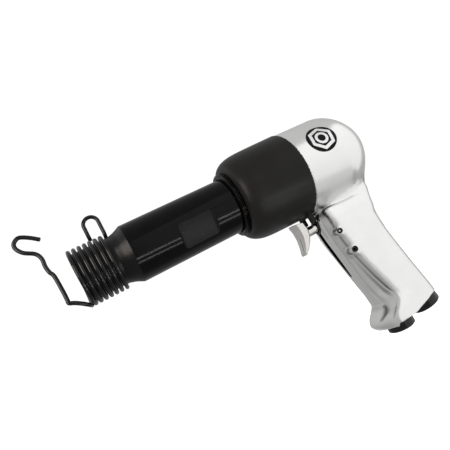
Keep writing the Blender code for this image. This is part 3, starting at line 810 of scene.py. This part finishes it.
def make_barrel():
    """The cylinder with its nose, neck, cone and two milled flats."""
    profile = [
        (MUZZLE_X, 7.85, 0.3), (MUZZLE_X, 16.0, 0.3), (MUZZLE_X + 1.2, NOSE_RADIUS, 0.3),
        (28.6, NOSE_RADIUS, 0.5), (33.0, 18.5, 16.0), (38.0, BARREL_RADIUS, 0.3),
        (206.0, BARREL_RADIUS, 0.4), (206.0, 9.6, 0.4), (52.0, 9.6, 0.5), (50.0, 6.45, 0.5),
        (MUZZLE_X + 1.4, 6.45, 0.3),
    ]
    barrel = turned("striker_barrel", profile, ALONG_X, 192)
    flat_front, flat_rear = 69.4, 98.6
    neck_front, neck_rear = 8.0, 37.9
    corner = 4.0
    flats = []
    for side in (0.0, math.pi):
        turn = Matrix.Rotation(FLAT_ANGLE + side, 4, "X")
        block = [(flat_front, -30.0), (flat_rear, -30.0)]
        for index in range(17):
            angle = math.radians(90.0 - 180.0 * index / 16)
            middle = flat_rear - corner if angle > 0.0 else flat_front + corner
            block.append((middle + corner * math.sin(angle),
                          corner * math.cos(angle) - FLAT_FROM_AXIS - corner))
        flats.append(plate("flat_cutter", block, 44.0, turn))
    cut(barrel, *flats)
    for material in ("black_steel", "milled_flat", "turned_neck"):
        barrel.data.materials.append(MATERIALS[material])
    finish(barrel, None, "body", "barrel", slot="black_steel")
    normal = Vector((0.0, -math.cos(FLAT_ANGLE), -math.sin(FLAT_ANGLE)))
    for face in barrel.data.polygons:
        along = face.center.x / MM - ORIGIN.x
        depth = abs(face.center.dot(normal) / MM - ORIGIN.dot(normal))
        below_surface = depth < BARREL_RADIUS - 0.4
        turned_to_flat = abs(face.normal.dot(normal)) > 0.2
        if flat_front - 0.4 < along < flat_rear + 0.4 and below_surface and turned_to_flat:
            face.material_index = 1
        elif neck_front < along < neck_rear:
            face.material_index = 2


def coil_point(turn_angle):
    """A point of the coil; 0 is the top and the angle grows towards -Y."""
    turns = (turn_angle - math.pi) / math.tau
    x = COIL_FRONT + COIL_PITCH * max(0.0, turns - CLOSED_TURNS)
    return Vector((x, -COIL_RADIUS * math.sin(turn_angle), COIL_RADIUS * math.cos(turn_angle)))


def make_coil():
    """The coil, which ends in an upright thumb loop."""
    start = math.pi + (WIRE_RADIUS + 0.3) / COIL_RADIUS
    end = math.pi + math.tau * COIL_TURNS
    count = 520
    points = [coil_point(start + (end - start) * index / count) for index in range(count + 1)]
    last = points[-1]
    loop_x = last.x + 1.7
    loop_y, loop_top = 9.5, 33.6
    loop_radius = 5.3
    bend = [points[-6], last, (last.x + 0.6, 14.4, 15.8), (last.x + 1.2, 11.4, 19.2),
            (loop_x, loop_y, 23.5), (loop_x, loop_y, 28.0)]
    points = points[:-6] + smooth_through(bend)
    for index in range(25):
        angle = math.radians(180.0 * index / 24)
        points.append(Vector((loop_x - loop_radius + loop_radius * math.cos(angle), loop_y,
                              loop_top + loop_radius * math.sin(angle))))
    points.append(Vector((loop_x - 2.0 * loop_radius, loop_y, 22.6)))
    finish(wire("retainer_wire", points), "black_wire", "body", "retainer_coil", sharp=60.0)


def make_gate():
    """The wire arm that crosses in front of the muzzle and ends in a hook."""
    route = [
        (COIL_FRONT, 0.0, -COIL_RADIUS), (0.4, -2.6, -COIL_RADIUS), (-0.6, -6.0, -18.4),
        (-3.4, -8.6, -16.4), (-7.2, -9.8, -14.0), (-9.6, -10.0, -12.9), (-10.5, -9.9, -12.0),
        (-10.4, -9.8, -9.8), (-10.6, -9.4, -2.4), (-11.3, -9.0, 7.2), (-12.9, -9.0, 11.2),
        (-13.6, -9.0, 15.6), (-13.5, -9.0, 21.2), (-15.8, -9.0, 25.6), (-21.7, -9.0, 29.4),
        (-24.6, -9.0, 33.4), (-24.8, -9.0, 36.8), (-22.4, -9.0, 39.2), (-19.6, -9.0, 39.5),
        (-14.6, -9.0, 36.8), (-9.4, -9.0, 32.9),
    ]
    gate = wire("retainer_gate_wire", smooth_through(route), ends=(0.7, 0.25))
    finish(gate, "black_wire", "gate", "retainer_gate", sharp=60.0)


# ---------------------------------------------------------------- sleeve

def make_sleeve():
    """The rubber sleeve, with its tab over the trigger rod, and the ring in front of it."""
    inner = BOSS_RADIUS + 0.3
    bore = BARREL_RADIUS + 0.3
    shoulder = smooth_through([
        (120.2, 26.2, 0.0), (121.2, 28.3, 0.0), (123.0, 30.0, 0.0), (125.6, 31.4, 0.0),
        (129.2, 32.5, 0.0), (134.0, 33.2, 0.0), (141.0, 33.6, 0.0), (155.0, 33.9, 0.0),
    ], 6)
    profile = [(120.0, bore, 0.4), (120.0, 25.2, 0.6)]
    profile += [tuple(point) for point in shoulder]
    profile += [(170.2, SLEEVE_RADIUS, 0.6), (170.2, inner, 0.3)]
    profile += [(128.7, inner, 0.3), (128.7, bore, 0.0)]
    sleeve = turned("grip_sleeve", profile, ALONG_X, 160)
    tab = soft_block("tab", (163.6, -9.5, -40.4), (167.8, 9.5, -31.0), 1.0)
    combine(sleeve, "UNION", tab)
    cut(sleeve, soft_block("tab_notch", (160.0, -6.4, -45.0), (172.2, 6.4, -35.0), 0.8))
    finish(sleeve, "black_rubber", "body", "rubber_sleeve", sharp=40.0)
    band = [
        (116.2, bore, 0.2), (116.2, 23.3, 0.3), (116.9, 24.6, 0.3), (117.5, 24.6, 0.25),
        (117.7, 23.9, 0.2), (118.0, 23.9, 0.2), (118.2, 24.8, 0.25), (118.7, 24.8, 0.25),
        (118.9, 22.6, 0.0), (119.7, 22.6, 0.0), (119.7, bore, 0.0),
    ]
    ring = turned("sleeve_ring", band, ALONG_X, 160)
    finish(ring, "black_steel", "body", "sleeve_retaining_ring")


# ---------------------------------------------------------------- trigger

def finger_pad():
    """The trigger's pad: hollow in side view, its front rounded across."""
    front_edge = track([
        (-34.8, 149.4), (-40.0, 150.5), (-46.0, 150.4), (-52.0, 149.3), (-57.0, 147.9), (-58.8, 148.3),
    ], 0.5)
    rear_edge = track([
        (-34.8, 160.0), (-39.2, 160.7), (-42.0, 160.6), (-46.0, 159.8), (-51.0, 157.4), (-55.6, 153.6),
        (-58.8, 150.0),
    ], 0.5)
    top, height = -34.8, 24.0
    top_front, top_slope = 149.4, 0.17
    half_width, taper = 5.5, 1.6
    front_power, rear_power = 2.4, 5.0
    levels = 40
    around = 64
    points = []
    faces = []
    for level in range(levels + 1):
        share = level / levels
        z = top - height * share
        front = front_edge(z)
        rear = rear_edge(z)
        middle = front + 0.55 * (rear - front)
        width = half_width - taper * share ** 2
        for step in range(around):
            angle = math.tau * step / around
            along = math.cos(angle)
            across = math.sin(angle)
            power = 2.0 / (rear_power if along > 0.0 else front_power)
            reach = rear - middle if along > 0.0 else middle - front
            x = middle + math.copysign(abs(along) ** power, along) * reach
            y = math.copysign(abs(across) ** power, across) * width
            points.append((x, y, z - top_slope * (x - top_front) * (1.0 - share)))
    for level in range(levels):
        base = level * around
        for step in range(around):
            after = (step + 1) % around
            faces.append((base + step, base + after, base + around + after, base + around + step))
    faces.append(tuple(range(around)))
    faces.append(tuple(range(levels * around, (levels + 1) * around)))
    return bevelled(mend(new_mesh("trigger_fin", points, faces)), 0.6, 3, 50.0)


def make_trigger():
    """The pad that the finger pulls and the rod behind it."""
    finish(finger_pad(), "polished_steel", "trigger", "trigger_finger", sharp=50.0)
    stem = rod("trigger_stem", ROD_RADIUS, 155.8, 182.2, rod_axis(), 64, 0.4)
    finish(stem, "polished_steel", "trigger", "trigger_rod")


def make_guide():
    """The bushing round the trigger rod, the pin through its tongue, and the plug below."""
    profile = [(168.2, 4.05, 0.2), (168.2, 5.5, 0.4), (181.0, 5.5, 0.3), (181.0, 5.0, 0.0),
               (177.6, 5.0, 0.0), (177.6, 4.05, 0.0)]
    guide = turned("guide_bushing", profile, rod_axis(), 64)
    tongue = soft_block("tongue", (171.4, -1.7, -59.5), (178.6, 1.7, -49.9), 0.3)
    combine(guide, "UNION", tongue)
    finish(guide, "black_fitting", "body", "trigger_bushing")
    profile = [(-16.3, 0.0, 0.0), (-16.3, 0.8, 0.1), (-14.0, 0.9, 0.0), (-13.6, 1.5, 0.2),
               (13.6, 1.5, 0.2), (14.0, 0.9, 0.0), (16.3, 0.8, 0.1), (16.3, 0.0, 0.0)]
    pin = turned("cross_pin", profile, cross_axis(PIN_PLACE), 40)
    finish(pin, "hard_steel", "body", "bushing_pin")
    plug = rod("plug_screw", 2.1, 5.0, 16.2, cross_axis(PLUG_PLACE), 48, 0.2)
    cut(plug, rod("socket", 1.15, 13.6, 18.0, cross_axis(PLUG_PLACE), 6))
    finish(plug, "black_fitting", "body", "passage_plug_screw")


# ---------------------------------------------------------------- base fittings

def make_inlet():
    """The front fitting at the base, with its bore for the air."""
    profile = [(-111.5, 5.7, 0.2), (-111.5, 8.0, 0.2), (-131.8, 8.0, 0.0), (-131.8, 10.4, 0.3),
               (-138.9, 10.4, 0.4), (-140.0, 8.8, 0.4), (-140.0, 6.7, 0.3), (-139.0, 5.7, 0.2)]
    inlet = turned("air_inlet", profile, place(x=INLET_X))
    finish(inlet, "black_fitting", "body", "inlet_bushing")


def make_deflector():
    """The rear cap, with three ports through its side."""
    axis = exhaust_axis()
    profile = [(17.0, 4.5, 0.2), (17.0, 8.1, 0.3), (8.7, 8.1, 0.0), (8.7, 11.4, 0.3), (1.1, 11.4, 0.4),
               (0.0, 10.3, 0.4), (0.0, 0.0, 0.0), (2.4, 0.0, 0.0), (2.4, 4.5, 0.3)]
    cap = turned("exhaust_cap", profile, axis)
    groove = [(14.2, 7.1, 0.0), (14.2, 9.5, 0.0), (12.4, 9.5, 0.0), (12.4, 7.1, 0.0)]
    cut(cap, turned("groove", groove, axis, 96))
    for turn in (60.0, 90.0, 120.0):
        spin = Matrix.Rotation(math.radians(turn), 4, "Z")
        cut(cap, rod("port", 1.3, 2.0, 20.0, axis @ place(z=4.8) @ spin @ ALONG_X, 32))
    finish(cap, "black_fitting", "deflector", "exhaust_deflector")


# ---------------------------------------------------------------- badge

def on_head(u, v, lift):
    """A point of the badge: u along the head, v up its side, lift off the cylinder."""
    angle = BADGE_ANGLE + v / HEAD_RADIUS
    radius = HEAD_RADIUS + lift
    return (BADGE_X + u, -radius * math.cos(angle), radius * math.sin(angle))


def curved_patch(name, outer, inner, low, high):
    """A thin patch between two closed outlines in (u, v), laid on the head."""
    count = len(outer)
    rings = 10
    points = []
    faces = []
    for lift in (low, high):
        for ring in range(rings + 1):
            share = ring / rings
            for (u0, v0), (u1, v1) in zip(inner, outer):
                points.append(on_head(u0 + (u1 - u0) * share, v0 + (v1 - v0) * share, lift))
    layer = (rings + 1) * count
    for index in range(count):
        after = (index + 1) % count
        for ring in range(rings):
            a = ring * count + index
            b = ring * count + after
            c = b + count
            d = a + count
            faces.append((a, d, c, b))
            faces.append((layer + a, layer + b, layer + c, layer + d))
        faces.append((index, after, layer + after, layer + index))
        rim = rings * count
        faces.append((rim + after, rim + index, layer + rim + index, layer + rim + after))
    return mend(new_mesh(name, points, faces))


def closed_outline(reach_at):
    """A closed outline in (u, v), from its reach at each angle."""
    points = []
    for index in range(OUTLINE_STEPS):
        angle = math.tau * index / OUTLINE_STEPS
        reach = reach_at(angle)
        points.append((reach * math.cos(angle), reach * math.sin(angle)))
    return points


def circle(radius):
    return closed_outline(lambda angle: radius)


def hexagon(radius):
    """A hexagon's outline, by its corner radius, turned a little."""
    sixth = math.pi / 3.0

    def reach_at(angle):
        local = (angle - HEXAGON_TURN) % sixth - sixth / 2.0
        return radius * math.cos(sixth / 2.0) / math.cos(local)

    return closed_outline(reach_at)


def make_badge():
    """A round black plate with a nut and a ring in bare metal."""
    disc = curved_patch("badge_plate", circle(11.3), circle(0.02), 0.2, 0.5)
    finish(disc, "badge_black", "body", "badge", sharp=50.0)
    nut = curved_patch("badge_hexagon", hexagon(10.0), hexagon(7.3), 0.45, 0.56)
    finish(nut, "badge_white", "body", sharp=50.0, slot="badge_black")
    ring = curved_patch("badge_ring", circle(5.0), circle(3.0), 0.45, 0.56)
    finish(ring, "badge_white", "body", sharp=50.0, slot="badge_black")


# ---------------------------------------------------------------- camera, floor and light

def make_camera():
    """The camera, from its place and its right and up directions."""
    data = bpy.data.cameras.new("camera")
    data.lens = 33.51
    data.sensor_width = 36.0
    data.clip_start = 0.01
    camera = bpy.data.objects.new("camera", data)
    bpy.context.scene.collection.objects.link(camera)
    spot = TO_WORLD @ Vector((17.90, -289.09, -51.89))
    right = Vector((0.854919, -0.194550, -0.480899))
    up = Vector((0.429647, -0.253965, 0.866548))
    back = right.cross(up)
    turn = Matrix((right, up, back)).transposed()
    camera.matrix_world = Matrix.Translation(spot) @ turn.to_4x4()
    bpy.context.scene.camera = camera


def area_light(name, origin, target, size, power, colour):
    """A rectangular light at origin that faces target."""
    data = bpy.data.lights.new(name, "AREA")
    data.shape = "RECTANGLE"
    data.size = size[0]
    data.size_y = size[1]
    data.energy = power
    data.color = colour
    light = bpy.data.objects.new(name, data)
    bpy.context.scene.collection.objects.link(light)
    forward = (Vector(target) - Vector(origin)).normalized()
    turn = forward.to_track_quat("-Z", "Y").to_matrix().to_4x4()
    light.matrix_world = Matrix.Translation(origin) @ turn
    return light


def make_floor():
    """A pale floor far below, which only the camera sees."""
    edge = 6000.0
    level = -420.0
    points = [(x * edge, y * edge, level) for x, y in ((-1, -1), (1, -1), (1, 1), (-1, 1))]
    floor = new_mesh("floor", points, [(0, 1, 2, 3)])
    paint = Paint("pale_floor", Roughness=0.9, Specular_IOR_Level=0.1)
    soft = paint.noise(60.0, 3.0)
    paint.feed("Base Color", paint.colours(soft, (0.3, (0.88, 0.88, 0.88)), (0.7, (0.9, 0.9, 0.9))))
    paint.shader.inputs["Emission Color"].default_value = (1.0, 1.0, 1.0, 1.0)
    paint.shader.inputs["Emission Strength"].default_value = 1.0
    floor.data.materials.append(paint.material)
    floor.visible_diffuse = False
    floor.visible_glossy = False
    floor.visible_shadow = False


def make_world():
    """White to the camera; to the object a grey room, darker below."""
    world = bpy.data.worlds.new("studio")
    bpy.context.scene.world = world
    world.use_nodes = True
    tree = world.node_tree

    def node(kind, **sockets):
        item = tree.nodes.new("ShaderNode" + kind)
        for socket, value in sockets.items():
            item.inputs[socket.replace("_", " ")].default_value = value
        return item

    direction = node("TexCoord")
    parts = node("SeparateXYZ")
    level = node("MapRange", From_Min=-0.75, From_Max=0.85, To_Min=0.33, To_Max=0.56)
    room = tree.nodes["Background"]
    plain = node("Background", Strength=1.05)
    path = node("LightPath")
    mix = node("MixShader")
    tree.links.new(direction.outputs["Generated"], parts.inputs[0])
    tree.links.new(parts.outputs["Z"], level.inputs["Value"])
    tree.links.new(level.outputs[0], room.inputs["Strength"])
    for background in (room, plain):
        background.inputs["Color"].default_value = (1.0, 1.0, 1.0, 1.0)
    tree.links.new(path.outputs["Is Camera Ray"], mix.inputs[0])
    tree.links.new(room.outputs[0], mix.inputs[1])
    tree.links.new(plain.outputs[0], mix.inputs[2])
    tree.links.new(mix.outputs[0], tree.nodes["World Output"].inputs["Surface"])


def toward(azimuth, elevation, distance, centre):
    """A place round a point: azimuth from the front (-Y) towards the rear end (+X)."""
    turn = math.radians(azimuth)
    lift = math.radians(elevation)
    away = Vector((math.sin(turn) * math.cos(lift), -math.cos(turn) * math.cos(lift), math.sin(lift)))
    return Vector(centre) + distance * away


def soft_box(name, azimuth, elevation, spread, radiance, distance=1.2, centre=(0.04, 0.0, 0.08),
             colour=(1.0, 1.0, 1.0), only=None):
    """A rectangular light that fills spread degrees each way; only= names what it lights."""
    origin = toward(azimuth, elevation, distance, centre)
    size = [2.0 * distance * math.tan(math.radians(angle / 2.0)) for angle in spread]
    power = radiance * math.pi * size[0] * size[1]
    light = area_light(name, origin, centre, size, power, colour)
    if only:
        light.light_linking.receiver_collection = only


def black_parts():
    """The black pieces, which have four lights of their own."""
    group = bpy.data.collections.new("black_parts")
    black = [MATERIALS[name] for name in ("black_steel", "black_wire", "black_rubber")]
    for item in bpy.context.scene.objects:
        if item.type == "MESH" and item.data.materials and item.data.materials[0] in black:
            group.objects.link(item)
    return group


def make_lights():
    """Three boxes for the whole object, then four lights for its black pieces."""
    soft_box("right_front_box", 52.0, 2.0, (104.0, 88.0), 0.54)
    soft_box("low_back_box", 158.0, -45.0, (58.0, 50.0), 0.2)
    soft_box("low_front_box", 45.0, -52.0, (50.0, 20.0), 0.3)
    black = black_parts()
    soft_box("nose_box", -50.0, 18.0, (38.0, 40.0), 6.0, distance=0.34, centre=(-0.075, 0.0, 0.14),
             colour=(1.0, 0.9, 0.82), only=black)
    soft_box("upper_strip", 16.0, -35.0, (44.0, 2.0), 20.0, only=black)
    soft_box("lower_strip", 16.0, -52.0, (44.0, 2.0), 16.0, only=black)
    soft_box("top_back_box", -110.0, 50.0, (50.0, 26.0), 0.6, only=black)


# ---------------------------------------------------------------- scene

def paint_carried_nodes():
    """Give each CAD node the material of its slot in the record."""
    slots = {entry["node"]: entry["material_slot"] for entry in frame["record"]["subparts"]}
    for name, item in frame["nodes"].items():
        item.data.materials.clear()
        item.data.materials.append(MATERIALS[slots[name]])


make_camera()
paint_carried_nodes()
make_housing()
make_barrel()
make_coil()
make_gate()
make_sleeve()
make_trigger()
make_guide()
make_inlet()
make_deflector()
make_badge()
make_floor()
make_world()
make_lights()
bpy.context.scene.view_settings.view_transform = "Standard"
